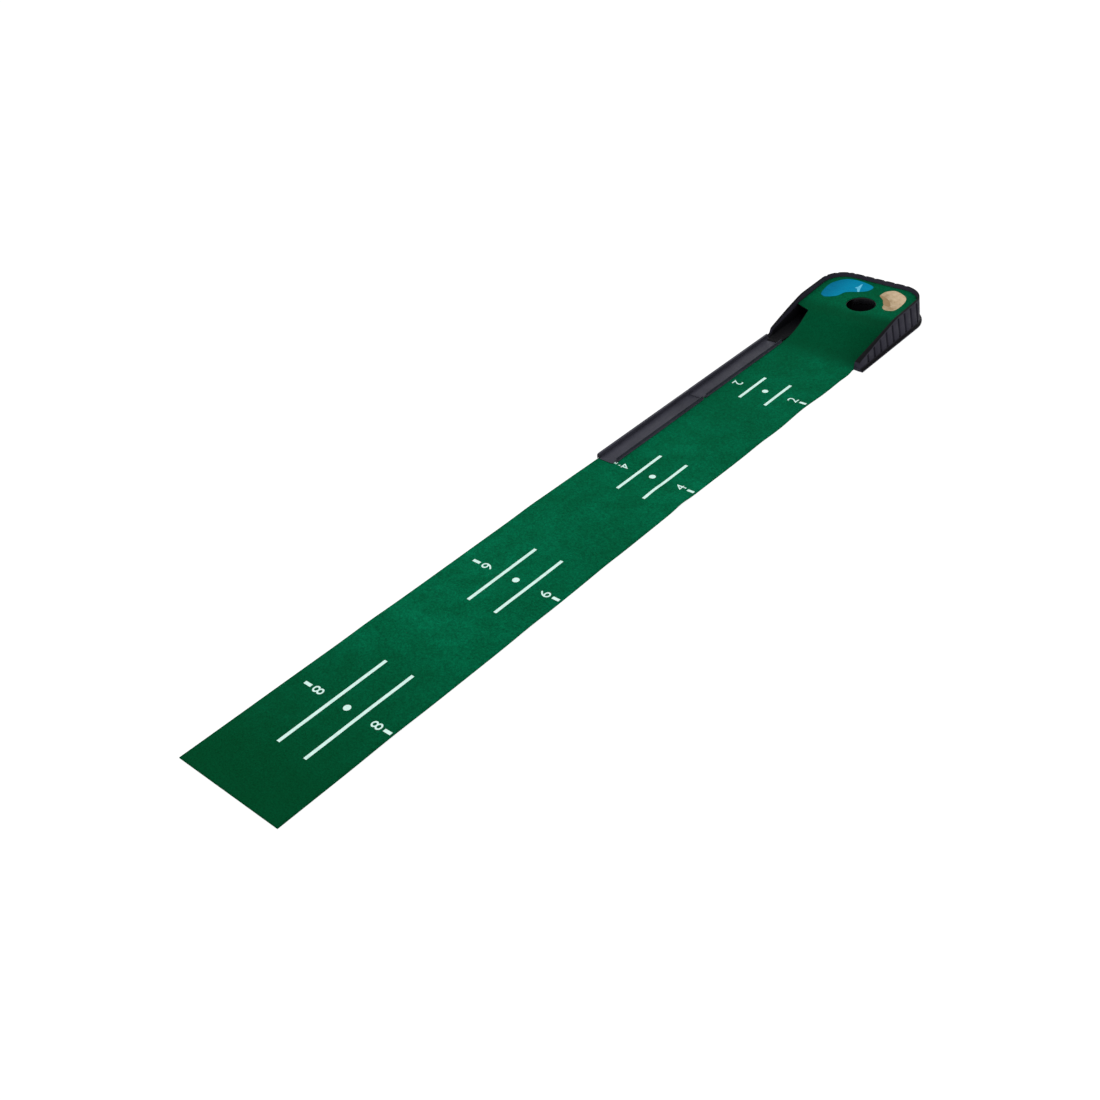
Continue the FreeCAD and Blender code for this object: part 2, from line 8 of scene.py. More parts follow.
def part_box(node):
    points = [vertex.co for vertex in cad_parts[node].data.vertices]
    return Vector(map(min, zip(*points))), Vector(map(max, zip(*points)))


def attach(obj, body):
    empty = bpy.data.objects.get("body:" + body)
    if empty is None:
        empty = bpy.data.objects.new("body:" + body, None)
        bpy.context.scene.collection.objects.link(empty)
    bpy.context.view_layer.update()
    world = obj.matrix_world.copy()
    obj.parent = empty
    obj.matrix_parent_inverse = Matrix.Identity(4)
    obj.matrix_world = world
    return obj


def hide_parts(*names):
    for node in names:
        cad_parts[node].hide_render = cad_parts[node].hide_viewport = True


MM = 0.001
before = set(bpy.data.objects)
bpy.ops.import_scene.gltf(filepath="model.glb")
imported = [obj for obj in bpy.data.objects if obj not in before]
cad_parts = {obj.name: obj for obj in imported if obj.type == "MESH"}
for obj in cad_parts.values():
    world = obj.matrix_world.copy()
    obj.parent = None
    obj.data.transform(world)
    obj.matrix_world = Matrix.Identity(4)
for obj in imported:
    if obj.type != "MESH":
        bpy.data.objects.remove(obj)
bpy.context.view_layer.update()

runner_low, runner_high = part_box("turf_runner")
deck_low, deck_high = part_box("turf_deck")
LEFT, RIGHT, FRONT, REAR = runner_low.x, runner_high.x, runner_low.y, deck_high.y
SLOPE = 0.06
LEAN = math.atan(SLOPE)
DECK = deck_high.z - SLOPE * REAR
THICK = 3.0 * MM

# The ramp's curve on the turf's top face
FOOT = 4.2 * MM
ANGLE = math.radians(32.6)
CREST_R = 90 * MM
DECK_Y = -102 * MM
DECK_START = DECK + SLOPE * DECK_Y
CREST_Y = DECK_Y + CREST_R * math.sin(LEAN)
CREST_Z = DECK_START - CREST_R * math.cos(LEAN)
CREST_RISE = CREST_R * (math.cos(LEAN) - math.cos(ANGLE))
CREST_RUN = CREST_R * (math.sin(ANGLE) - math.sin(LEAN))
RAMP_R = (DECK_START - FOOT - CREST_RISE) / (1 - math.cos(ANGLE))
RAMP_Y = DECK_Y - RAMP_R * math.sin(ANGLE) - CREST_RUN
JOIN_Y = RAMP_Y + RAMP_R * math.sin(ANGLE)
LIP_X = -131 * MM
CORNER = 78 * MM
HOLE = 51.4 * MM
TWO_FEET = 609.6 * MM
LIP_RISE = (-0.350, -0.326)

# Where the felt is cut away over the chute: two straight edges, and a slanting one in millimetres
CHUTE_FRONT = -0.289
CHUTE_RIGHT = -0.137
SLANT = ((-260, -74), (-137, -119))
CHUTE_CORNER = [(-0.1445, -0.1163), (-0.1400, -0.1185), (-0.1376, -0.1212), (-0.137, -0.125)]


def smooth(a, b, x):
    """0 before a, 1 after b, and a smooth rise between."""
    t = max(0.0, min(1.0, (x - a) / (b - a)))
    return t * t * (3 - 2 * t)


def through(stations, y):
    """A smooth value through a few (place, value) stations."""
    if y <= stations[0][0]:
        return stations[0][1]
    for (y0, v0), (y1, v1) in zip(stations, stations[1:]):
        if y <= y1:
            return v0 + (v1 - v0) * smooth(y0, y1, y)
    return stations[-1][1]


def ramp_height(x, y):
    """The turf's top face over a plan point, before any ripples."""
    if y <= RAMP_Y:
        on_lip = THICK + (FOOT - THICK) * smooth(*LIP_RISE, y)
        if y > CHUTE_FRONT:
            return on_lip
        return THICK + (on_lip - THICK) * smooth(LIP_X - 0.010, LIP_X + 0.002, x)
    if y <= JOIN_Y:
        return FOOT + RAMP_R - math.sqrt(RAMP_R ** 2 - (y - RAMP_Y) ** 2)
    if y <= DECK_Y:
        return CREST_Z + math.sqrt(CREST_R ** 2 - (CREST_Y - y) ** 2)
    return DECK + SLOPE * y


# How far the felt's long edges stray sideways: place along the felt, and millimetres
RIGHT_DRIFT = [
    (-2.787, -0.2), (-2.0, -0.2), (-1.62, -3.2), (-1.27, -4.4), (-0.95, -1.0), (-0.78, 1.5),
    (-0.64, -2.5), (-0.5, 3.4), (-0.42, 3.0), (-0.37, 5.0), (-0.33, 1.0), (-0.29, 0),
]
LEFT_DRIFT = [(-2.787, -1.6), (-2.0, -3.1), (-1.7, -4.6), (-1.45, -6.0), (-1.15, -3.0), (-0.9, 0)]

# Ripples: place, spread, height in millimetres, and 1 for the right side or -1 for the left
RIPPLES = [
    (-1.268, 0.036, 4.6, 1), (-1.93, 0.075, 2.4, 1), (-0.86, 0.055, 2.2, 1), (-2.42, 0.09, 2.0, 1),
    (-1.62, 0.06, 1.6, 1), (-2.16, 0.07, 1.8, -1), (-1.52, 0.06, 1.5, -1),
]


def felt(x, y, above=0.0):
    """Where a point of the flat felt lies on the floor or the ramp."""
    right = smooth(0.02, RIGHT, x)
    drift = right * through(RIGHT_DRIFT, y)
    drift += smooth(-0.09, LEFT, x) * through(LEFT_DRIFT, y)
    lift = 0.0
    for place, spread, high, side in RIPPLES:
        bell = math.exp(-(((y - place + 0.12 * x * side) / spread) ** 2))
        lift += bell * high * (smooth(-0.05, RIGHT, x) if side > 0 else smooth(-0.02, LEFT, x))
    free = smooth(-0.42, -0.62, y) * (1 - smooth(-1.46, -1.37, y) * smooth(-0.10, -0.13, x))
    roll = noise.noise(Vector((x * 5.0, y * 3.0, 2.3))) + 0.55
    lift = (lift + 0.5 * max(0.0, roll)) * free
    return Vector((x + drift * MM, y, ramp_height(x, y) + lift * MM + above))


# --- Materials --------------------------------------------------------------------------------

def nodes_of(name):
    """A new material with an empty principled setup and helpers to wire it."""
    material = bpy.data.materials.new(name)
    material.use_nodes = True
    tree = material.node_tree
    shader = tree.nodes["Principled BSDF"]
    coords = tree.nodes.new("ShaderNodeTexCoord")
    return material, tree, shader, coords.outputs["Object"]


def node(tree, kind, inputs=None, **settings):
    """A node with its settings and plain input values."""
    made = tree.nodes.new(kind)
    for key, value in settings.items():
        setattr(made, key, value)
    for key, value in (inputs or {}).items():
        made.inputs[key].default_value = value
    return made


def grain(tree, where, scale, detail=3.0, rough=0.6, stretch=None):
    """A noise value at so many features a metre."""
    made = node(tree, "ShaderNodeTexNoise", {"Scale": scale, "Detail": detail, "Roughness": rough})
    if stretch:
        mapping = node(tree, "ShaderNodeMapping", {"Scale": stretch})
        tree.links.new(where, mapping.inputs["Vector"])
        where = mapping.outputs["Vector"]
    tree.links.new(where, made.inputs["Vector"])
    return made.outputs["Fac"]


def ramp(tree, value, stops):
    """A colour ramp on a value: stops are (position, colour)."""
    made = tree.nodes.new("ShaderNodeValToRGB")
    elements = made.color_ramp.elements
    while len(elements) < len(stops):
        elements.new(0.5)
    for element, (position, colour) in zip(elements, stops):
        element.position = position
        element.color = colour if len(colour) == 4 else (*colour, 1.0)
    tree.links.new(value, made.inputs["Fac"])
    return made.outputs["Color"]


def grey(level):
    """A grey for value ramps."""
    return (level, level, level, 1.0)


def mix(tree, factor, a, b, blend="MIX"):
    """Two colours mixed; each may be a socket or a plain colour."""
    made = node(tree, "ShaderNodeMix", data_type="RGBA", blend_type=blend)
    for socket, value in ((made.inputs[0], factor), (made.inputs[6], a), (made.inputs[7], b)):
        if isinstance(value, bpy.types.NodeSocket):
            tree.links.new(value, socket)
        elif isinstance(value, (int, float)):
            socket.default_value = value
        else:
            socket.default_value = (*value[:3], 1.0)
    return made.outputs[2]


def maths(tree, kind, a, b=None):
    """A maths node on sockets or numbers."""
    made = node(tree, "ShaderNodeMath", operation=kind)
    for socket, value in ((made.inputs[0], a), (made.inputs[1], b)):
        if isinstance(value, bpy.types.NodeSocket):
            tree.links.new(value, socket)
        elif value is not None:
            socket.default_value = value
    return made.outputs[0]


def bump(tree, shader, height, distance, strength=1.0):
    """Height in metres of relief from a 0 to 1 value."""
    made = node(tree, "ShaderNodeBump", {"Strength": strength, "Distance": distance})
    tree.links.new(height, made.inputs["Height"])
    tree.links.new(made.outputs["Normal"], shader.inputs["Normal"])


def axis_of(tree, where, axis):
    """One coordinate of a position."""
    made = tree.nodes.new("ShaderNodeSeparateXYZ")
    tree.links.new(where, made.inputs[0])
    return made.outputs[axis]


def fade(tree, value, start, end):
    """0 where a value is at start, 1 where it is at end, and a smooth rise between."""
    span = {"From Min": start, "From Max": end}
    made = node(tree, "ShaderNodeMapRange", span, interpolation_type="SMOOTHSTEP")
    tree.links.new(value, made.inputs["Value"])
    return made.outputs[0]


def srgb(r, g, b):
    """A display colour as scene-linear values."""
    def line(v):
        v = v / 255
        return v / 12.92 if v <= 0.04045 else ((v + 0.055) / 1.055) ** 2.4
    return (line(r), line(g), line(b))


def nap(tree, shader, where, height=0.00045):
    """The felt's short pile: fine relief, and the fine value that colours it."""
    fibres = grain(tree, where, 900.0, 4.0, 0.7)
    tufts = grain(tree, where, 260.0, 2.0, 0.5)
    both = maths(tree, "ADD", maths(tree, "MULTIPLY", fibres, 0.6), maths(tree, "MULTIPLY", tufts, 0.4))
    bump(tree, shader, both, height)
    return both


def turf_material():
    """Green needled felt, mottled where the nap lies in different directions, with painted shade on the
    ramp and near end.
    """
    material, tree, shader, where = nodes_of("turf_felt")
    fine = nap(tree, shader, where)
    across, along = axis_of(tree, where, 0), axis_of(tree, where, 1)
    patches = grain(tree, where, 14.0, 4.0, 0.62)
    broad = grain(tree, where, 3.2, 2.0, 0.5)
    base = ramp(tree, broad, [(0.30, srgb(0, 80, 51)), (0.5, srgb(0, 87, 57)), (0.72, srgb(1, 94, 63))])
    mottled = mix(tree, ramp(tree, patches, [(0.38, grey(0.0)), (0.62, grey(0.6))]), base, srgb(0, 73, 44))
    tufts = grain(tree, where, 150.0, 4.0, 0.75)
    clumps = ramp(tree, tufts, [(0.36, grey(0.72)), (0.5, grey(1.0)), (0.64, grey(1.26))])
    mottled = mix(tree, 1.0, mottled, clumps, "MULTIPLY")
    # painted shade: the felt darkens towards its near end
    near_end_painted_shade = fade(tree, maths(tree, "MULTIPLY", along, -1.0), 2.05, 2.75)
    shade = mix(tree, maths(tree, "MULTIPLY", near_end_painted_shade, 0.85), mottled, srgb(0, 58, 29))
    # painted shade: the ramp's climb darker, and darker still on its right side
    climb_painted_shade = maths(tree, "MULTIPLY", fade(tree, along, -0.37, -0.25), fade(tree, along, -0.02, -0.09))
    shade = mix(tree, maths(tree, "MULTIPLY", climb_painted_shade, 0.75), shade, srgb(0, 60, 34))
    climb_right_painted_shade = maths(tree, "MULTIPLY", climb_painted_shade, fade(tree, across, -0.02, 0.16))
    shade = mix(tree, maths(tree, "MULTIPLY", climb_right_painted_shade, 0.6), shade, srgb(0, 50, 28))
    behind = fade(tree, along, 0.0, 0.12)
    shade = mix(tree, maths(tree, "MULTIPLY", behind, 0.35), shade, srgb(0, 66, 38))
    speck = ramp(tree, fine, [(0.36, grey(0.62)), (0.5, grey(1.0)), (0.64, grey(1.32))])
    colour = mix(tree, 1.0, shade, speck, "MULTIPLY")
    tree.links.new(colour, shader.inputs["Base Color"])
    shader.inputs["Roughness"].default_value = 0.95
    shader.inputs["Specular IOR Level"].default_value = 0.02
    return material


def print_material(name, light, dark, through_green=0.5):
    """Ink on the felt: the pile shows through it."""
    material, tree, shader, where = nodes_of(name)
    fine = nap(tree, shader, where, 0.0004)
    patches = grain(tree, where, 60.0, 4.0, 0.6)
    colour = mix(tree, ramp(tree, patches, [(0.40, grey(0.0)), (0.75, grey(0.6))]), light, dark)
    speck = ramp(tree, fine, [(0.34, grey(1 - through_green)), (0.48, grey(1.0)), (0.66, grey(1.05))])
    tree.links.new(mix(tree, 1.0, colour, speck, "MULTIPLY"), shader.inputs["Base Color"])
    shader.inputs["Roughness"].default_value = 0.85
    shader.inputs["Specular IOR Level"].default_value = 0.03
    return material


def water_material():
    """Blue ink, deeper towards the left end."""
    material, tree, shader, where = nodes_of("print_water")
    fine = nap(tree, shader, where, 0.0003)
    left = fade(tree, axis_of(tree, where, 0), -0.085, -0.175)
    streaks = grain(tree, where, 40.0, 4.0, 0.55, (0.5, 1.5, 1.0))
    base = mix(tree, maths(tree, "MULTIPLY", left, 0.75), srgb(0, 122, 156), srgb(0, 84, 116))
    base = mix(tree, ramp(tree, streaks, [(0.42, grey(0.0)), (0.66, grey(0.5))]), base, srgb(2, 112, 150))
    speck = ramp(tree, fine, [(0.36, grey(0.78)), (0.5, grey(1.0)), (0.64, grey(1.12))])
    tree.links.new(mix(tree, 1.0, base, speck, "MULTIPLY"), shader.inputs["Base Color"])
    shader.inputs["Roughness"].default_value = 0.8
    shader.inputs["Specular IOR Level"].default_value = 0.03
    return material


def sand_material():
    """Tan ink, mottled, darker at the front left and paler at the back."""
    material, tree, shader, where = nodes_of("print_sand")
    fine = nap(tree, shader, where, 0.0003)
    blotch = grain(tree, where, 55.0, 5.0, 0.65)
    across = maths(tree, "ADD", axis_of(tree, where, 0), axis_of(tree, where, 1))
    slope = fade(tree, across, 0.20, 0.09)
    base = mix(tree, maths(tree, "MULTIPLY", slope, 0.8), srgb(182, 159, 129), srgb(126, 108, 78))
    base = mix(tree, ramp(tree, blotch, [(0.40, grey(0.0)), (0.70, grey(0.7))]), base, srgb(198, 178, 150))
    base = mix(tree, ramp(tree, blotch, [(0.30, grey(0.5)), (0.45, grey(0.0))]), base, srgb(142, 118, 88))
    speck = ramp(tree, fine, [(0.34, grey(0.82)), (0.5, grey(1.0)), (0.66, grey(1.1))])
    tree.links.new(mix(tree, 1.0, base, speck, "MULTIPLY"), shader.inputs["Base Color"])
    shader.inputs["Roughness"].default_value = 0.85
    shader.inputs["Specular IOR Level"].default_value = 0.03
    return material


def hollows(tree, reach, low):
    """A value that falls in narrow grooves, for painted shade there."""
    made = node(tree, "ShaderNodeAmbientOcclusion", {"Distance": reach}, samples=8, only_local=True)
    return ramp(tree, made.outputs["AO"], [(0.45, grey(low)), (0.92, grey(1.0))])


def plastic(name, dark, light, rough=0.5, speckle=0.00006, coarse=420.0, scuffs=0.35, shine=0.25,
            top=1.0, grooves=1.0):
    """Moulded plastic: a fine spark texture, slow tone changes, and rubbed, dusty patches.

    top darkens the faces that look up, and grooves darkens the narrow grooves, below 1: both are painted
    shade.
    """
    material, tree, shader, where = nodes_of(name)
    texture = grain(tree, where, coarse, 3.0, 0.6)
    slow = grain(tree, where, 9.0, 3.0, 0.55)
    rubs = grain(tree, where, 70.0, 6.0, 0.7, (1.0, 0.35, 1.0))
    base = mix(tree, ramp(tree, slow, [(0.3, grey(0.0)), (0.7, grey(1.0))]), dark, light)
    dusty = tuple(min(1, c * 1.9 + 0.004) for c in light)
    scuffed = mix(tree, ramp(tree, rubs, [(0.56, grey(0.0)), (0.78, grey(scuffs))]), base, dusty)
    # painted shade: faces that look up are darkened by the top setting
    facing = tree.nodes.new("ShaderNodeNewGeometry").outputs["Normal"]
    painted_top_shade = ramp(tree, axis_of(tree, facing, 2), [(0.45, grey(1.0)), (0.85, grey(top))])
    toned = mix(tree, 1.0, scuffed, painted_top_shade, "MULTIPLY")
    # painted shade in the narrow grooves
    if grooves < 1.0:
        toned = mix(tree, 1.0, toned, hollows(tree, 0.007, grooves), "MULTIPLY")
    tree.links.new(toned, shader.inputs["Base Color"])
    dull = ramp(tree, rubs, [(0.3, grey(rough - 0.08)), (0.7, grey(min(1.0, rough + 0.14)))])
    tree.links.new(dull, shader.inputs["Roughness"])
    bump(tree, shader, texture, speckle)
    shader.inputs["Specular IOR Level"].default_value = shine
    return material


def steel_material():
    """Zinc-plated screw steel."""
    material, tree, shader, where = nodes_of("zinc_steel")
    lines = grain(tree, where, 900.0, 3.0, 0.6)
    tone = grain(tree, where, 120.0, 3.0, 0.6)
    colour = ramp(tree, tone, [(0.3, srgb(150, 152, 158)), (0.7, srgb(186, 188, 192))])
    tree.links.new(colour, shader.inputs["Base Color"])
    tree.links.new(ramp(tree, lines, [(0.3, grey(0.28)), (0.7, grey(0.46))]), shader.inputs["Roughness"])
    shader.inputs["Metallic"].default_value = 1.0
    bump(tree, shader, lines, 0.00003)
    return material


def hook_material():
    """Black hook tape: rows of tiny hooks."""
    material, tree, shader, where = nodes_of("hook_tape")
    cells = node(tree, "ShaderNodeTexVoronoi", {"Scale": 620.0})
    tree.links.new(where, cells.inputs["Vector"])
    dots = cells.outputs["Distance"]
    colour = ramp(tree, dots, [(0.1, srgb(34, 34, 36)), (0.6, srgb(12, 12, 13))])
    tree.links.new(colour, shader.inputs["Base Color"])
    bump(tree, shader, maths(tree, "SUBTRACT", 1.0, dots), 0.0005)
    shader.inputs["Roughness"].default_value = 0.8
    return material


TURF = turf_material()
WHITE_INK = print_material("print_white", srgb(200, 228, 220), srgb(168, 205, 194), 0.30)
# top and grooves below 1 paint shade on the faces that look up and into the grooves
HOUSING = plastic(
    "housing_black", srgb(34, 33, 43), srgb(44, 43, 53),
    rough=0.5, speckle=0.00007, coarse=520.0, scuffs=0.15, shine=0.05, top=0.10, grooves=0.15,
)
# its own black plastic made darker still, as painted shade for the insides of the chute and gutter
SHADED_INNER = plastic(
    "inner_black", srgb(7, 7, 10), srgb(12, 12, 15),
    rough=0.5, speckle=0.00005, coarse=420.0, scuffs=0.12, shine=0.05,
)
SLEEVE = plastic(
    "sleeve_black", srgb(14, 14, 17), srgb(24, 24, 28),
    rough=0.34, speckle=0.00005, coarse=420.0, scuffs=0.2, shine=0.5,
)
TRACK = plastic(
    "track_grey", srgb(42, 42, 51), srgb(52, 52, 62),
    rough=0.42, speckle=0.00004, coarse=600.0, scuffs=0.2, shine=0.14,
)
RUBBER = plastic(
    "foot_rubber", srgb(18, 18, 18), srgb(30, 30, 30),
    rough=0.78, speckle=0.0001, coarse=700.0, scuffs=0.3,
)
STEEL = steel_material()
HOOKS = hook_material()


def dress(name, material):
    """Gives a CAD node its finished material."""
    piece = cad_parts[name]
    piece.data.materials.clear()
    piece.data.materials.append(material)
    for polygon in piece.data.polygons:
        polygon.use_smooth = True
    weld = piece.modifiers.new("weld", "WELD")
    weld.merge_threshold = 0.00001
    return piece


def soften(piece, width, angle=32):
    """Rounds a moulding's sharp edges a little, so that they catch the light."""
    edge = piece.modifiers.new("edges", "BEVEL")
    edge.width = width
    edge.segments = 2
    edge.limit_method = "ANGLE"
    edge.angle_limit = math.radians(angle)
    edge.harden_normals = True
    edge.use_clamp_overlap = True


def mesh_piece(name, points, faces, material, body, smooth_shade=True):
    """A new mesh piece riding on a body."""
    mesh = bpy.data.meshes.new(name)
    mesh.from_pydata([tuple(p) for p in points], [], faces)
    mesh.materials.append(material)
    for polygon in mesh.polygons:
        polygon.use_smooth = smooth_shade
    piece = bpy.data.objects.new(name, mesh)
    bpy.context.scene.collection.objects.link(piece)
    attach(piece, body)
    return piece


# --- Felt -------------------------------------------------------------------------------------

def arc_points(cx, cy, radius, start, end, steps):
    """Points along an arc, in degrees."""
    turns = [math.radians(start + (end - start) * i / steps) for i in range(steps + 1)]
    return [(cx + radius * math.cos(t), cy + radius * math.sin(t)) for t in turns]


EDGE_STEP = 0.018


def felt_outline():
    """The felt's cut edge, flat, anticlockwise from the near left corner."""
    def side(x, y0, y1):
        count = max(2, int(abs(y1 - y0) / EDGE_STEP))
        return [(x, y0 + (y1 - y0) * i / count) for i in range(count)]
    points = [(LEFT + (RIGHT - LEFT) * i / 24, FRONT) for i in range(24)]
    points += side(RIGHT, FRONT, REAR - CORNER)
    points += arc_points(RIGHT - CORNER, REAR - CORNER, CORNER, 0, 90, 14)[:-1]
    points += [(RIGHT - CORNER + (LEFT - RIGHT + 2 * CORNER) * i / 14, REAR) for i in range(14)]
    points += arc_points(LEFT + CORNER, REAR - CORNER, CORNER, 90, 180, 14)
    (far_x, far_y), (near_x, near_y) = SLANT
    notch_y = (far_y + (near_y - far_y) * (LEFT / MM - far_x) / (near_x - far_x)) * MM
    points += side(LEFT, REAR - CORNER, notch_y)[1:]
    points.append((LEFT, notch_y))
    turn_x, turn_y = CHUTE_CORNER[0]
    points += [(LEFT + (turn_x - LEFT) * i / 4, notch_y + (turn_y - notch_y) * i / 4) for i in range(1, 5)]
    points += CHUTE_CORNER[1:]
    points += side(CHUTE_RIGHT, -0.131, CHUTE_FRONT)
    points += [(CHUTE_RIGHT + (LEFT - CHUTE_RIGHT) * i / 5, CHUTE_FRONT) for i in range(6)]
    points += side(LEFT, -0.295, FRONT)[1:]
    return points


def inside(points, x, y):
    """Whether a plan point is inside a closed outline."""
    hit = False
    for (x0, y0), (x1, y1) in zip(points, points[1:] + points[:1]):
        if (y0 > y) != (y1 > y) and x < x0 + (x1 - x0) * (y - y0) / (y1 - y0):
            hit = not hit
    return hit


def filled(outline, holes, step_x, step_y, keep=None):
    """Triangles over a flat outline with holes, with regular points inside."""
    points = [Vector(p) for p in outline]
    edges = [(i, (i + 1) % len(outline)) for i in range(len(outline))]
    for hole in holes:
        base = len(points)
        points += [Vector(p) for p in hole]
        edges += [(base + i, base + (i + 1) % len(hole)) for i in range(len(hole))]
    xs = [p[0] for p in outline]
    ys = [p[1] for p in outline]
    y = min(ys) + step_y(min(ys)) / 2
    row = 0
    while y < max(ys):
        x = min(xs) + step_x * (0.5 if row % 2 else 0.25)
        while x < max(xs):
            if inside(outline, x, y) and not any(inside(hole, x, y) for hole in holes):
                points.append(Vector((x, y)))
            x += step_x
        y += step_y(y)
        row += 1
    found = delaunay_2d_cdt(points, edges, [], 0, 1e-7)
    made, _, faces = found[0], found[1], found[2]
    kept = []
    for face in faces:
        cx = sum(made[i].x for i in face) / 3
        cy = sum(made[i].y for i in face) / 3
        if inside(outline, cx, cy) and not any(inside(hole, cx, cy) for hole in holes):
            kept.append(tuple(face))
    return [(p.x, p.y) for p in made], kept


def felt_step(y):
    """Finer rows on the ramp."""
    return 0.007 if -0.36 < y < -0.08 else 0.016


outline = felt_outline()
hole = arc_points(0, 0, HOLE, 0, 360, 64)[:-1]
flat_points, flat_faces = filled(outline, [hole], 0.014, felt_step)
turf = mesh_piece("putting_felt", [felt(x, y) for x, y in flat_points], flat_faces, TURF, "housing")
solid = turf.modifiers.new("thickness", "SOLIDIFY")
solid.thickness = THICK - 0.0002
solid.offset = -1.0
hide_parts("turf_runner")
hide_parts("turf_deck")


# --- Printed marks ----------------------------------------------------------------------------

INK = 0.00022
LINE_X, LINE_HALF = 0.048, 0.0051
DOT_RADIUS = 0.0102
NUMERAL_X = 0.105
NUMERAL_WIDE, NUMERAL_HIGH = 0.0225, 0.0335
TICK_ENDS, TICK_HALF = (0.1305, 0.1541), 0.005
STATIONS = ((2, 0.1538), (4, 0.2145), (6, 0.2724), (8, 0.3496))   # number, and its lines' length
mark_points, mark_faces = [], []


def add_print(points, faces):
    """Adds flat print shapes to the white marks."""
    base = len(mark_points)
    mark_points.extend(felt(x, y, INK) for x, y in points)
    mark_faces.extend(tuple(base + i for i in face) for face in faces)


def strip(x0, y0, x1, y1, nx, ny):
    """A printed bar."""
    points = [
        (x0 + (x1 - x0) * i / nx, y0 + (y1 - y0) * j / ny)
        for j in range(ny + 1) for i in range(nx + 1)
    ]
    faces = []
    for j in range(ny):
        for i in range(nx):
            a = j * (nx + 1) + i
            faces.append((a, a + 1, a + nx + 2, a + nx + 1))
    add_print(points, faces)


def disc(x, y, radius):
    """A printed dot."""
    ring = arc_points(x, y, radius, 0, 360, 36)[:-1]
    add_print([(x, y)] + ring, [(0, 1 + i, 1 + (i + 1) % 36) for i in range(36)])


def numeral(text, x, y, turn):
    """A printed numeral, its foot towards the felt's edge."""
    curve = bpy.data.curves.new("numeral", "FONT")
    curve.body = text
    curve.align_x = "CENTER"
    curve.align_y = "CENTER"
    curve.size = 1.0
    curve.resolution_u = 6
    holder = bpy.data.objects.new("numeral", curve)
    bpy.context.scene.collection.objects.link(holder)
    bpy.context.view_layer.update()
    flat = bpy.data.meshes.new_from_object(holder.evaluated_get(bpy.context.evaluated_depsgraph_get()))
    xs = [v.co.x for v in flat.vertices]
    ys = [v.co.y for v in flat.vertices]
    wide, high = max(xs) - min(xs), max(ys) - min(ys)
    cx, cy = (max(xs) + min(xs)) / 2, (max(ys) + min(ys)) / 2
    points = []
    for v in flat.vertices:
        u = (v.co.x - cx) / wide * NUMERAL_WIDE
        w = (v.co.y - cy) / high * NUMERAL_HIGH
        points.append((x - w * turn, y + u * turn))
    add_print(points, [tuple(p.vertices) for p in flat.polygons])
    bpy.data.objects.remove(holder)
    bpy.data.meshes.remove(flat)
    bpy.data.curves.remove(curve)


for number, reach in STATIONS:
    y = -TWO_FEET * number / 2
    disc(0, y, DOT_RADIUS)
    for x in (-LINE_X, LINE_X):
        strip(x - LINE_HALF, y - reach / 2, x + LINE_HALF, y + reach / 2, 2, int(reach / 0.008))
    for side in (1, -1):
        numeral(str(number), NUMERAL_X * side, y, side)
        inner, outer = sorted(end * side for end in TICK_ENDS)
        under_track = side < 0 and number <= 2
        if not under_track:
            strip(inner, y - TICK_HALF, outer, y + TICK_HALF, 6, 2)
marks = mesh_piece("felt_marks", mark_points, mark_faces, WHITE_INK, "housing")


def closed_curve(points, steps=8):
    """A smooth closed line through a few points."""
    out = []
    n = len(points)
    for i in range(n):
        p0, p1, p2, p3 = [points[(i + k - 1) % n] for k in range(4)]
        for s in range(steps):
            t = s / steps
            out.append(tuple(
                0.5 * (2 * b + (c - a) * t + (2 * a - 5 * b + 4 * c - d) * t * t
                       + (3 * b - a - 3 * c + d) * t ** 3)
                for a, b, c, d in zip(p0, p1, p2, p3)
            ))
    return out


def hazard(name, places, material, above=INK, grow=0.0):
    """A printed hazard on the deck."""
    line = closed_curve([(x * MM, y * MM) for x, y in places])
    if grow:
        cx = sum(p[0] for p in line) / len(line)
        cy = sum(p[1] for p in line) / len(line)
        line = [(cx + (x - cx) * (1 + grow), cy + (y - cy) * (1 + grow)) for x, y in line]
    points, faces = filled(line, [], 0.008, lambda y: 0.008)
    return mesh_piece(name, [felt(x, y, above) for x, y in points], faces, material, "housing")


# The hazards' outlines on the deck, in millimetres
WATER = [
    (-161, 5), (-168, 38), (-170, 74), (-162, 102), (-136, 137), (-90, 146), (-38, 136),
    (-21, 121), (-27, 93), (-50, 74), (-89, 51), (-104, 14), (-135, -9), (-149, -7),
]
SAND = [
    (27, 85), (31, 115), (50, 135), (70, 136), (106, 118), (123, 89), (126, 43),
    (120, 13), (105, 3), (89, 1), (75, 13), (69, 34), (56, 57), (37, 73),
]
SPLASH = [
    (-55, 72), (-50, 75), (-56, 92), (-61, 109), (-66, 128),
    (-70, 122), (-71, 107), (-77, 95), (-67, 90), (-61, 80),
]
SHADE = [
    (33, 83), (44, 82), (58, 76), (74, 64), (90, 42),
    (94, 28), (82, 26), (66, 36), (52, 59), (36, 74),
]
WATER_RIM = print_material("print_water_rim", srgb(3, 86, 92), srgb(2, 78, 74), 0.35)
water_rim = hazard("water_rim", WATER, WATER_RIM, INK * 0.6, 0.022)
water = hazard("water_print", WATER, water_material(), INK * 1.4)
sand = hazard("sand_print", SAND, sand_material(), INK)
SHADOW = print_material("print_sand_shade", srgb(146, 122, 90), srgb(126, 104, 74), 0.2)
shade = hazard("sand_shade", SHADE, SHADOW, INK * 1.6)
PALE = print_material("print_pale_blue", srgb(96, 178, 204), srgb(40, 150, 185), 0.25)
splash = hazard("water_splash", SPLASH, PALE, INK * 2.0)


# --- Mouldings --------------------------------------------------------------------------------

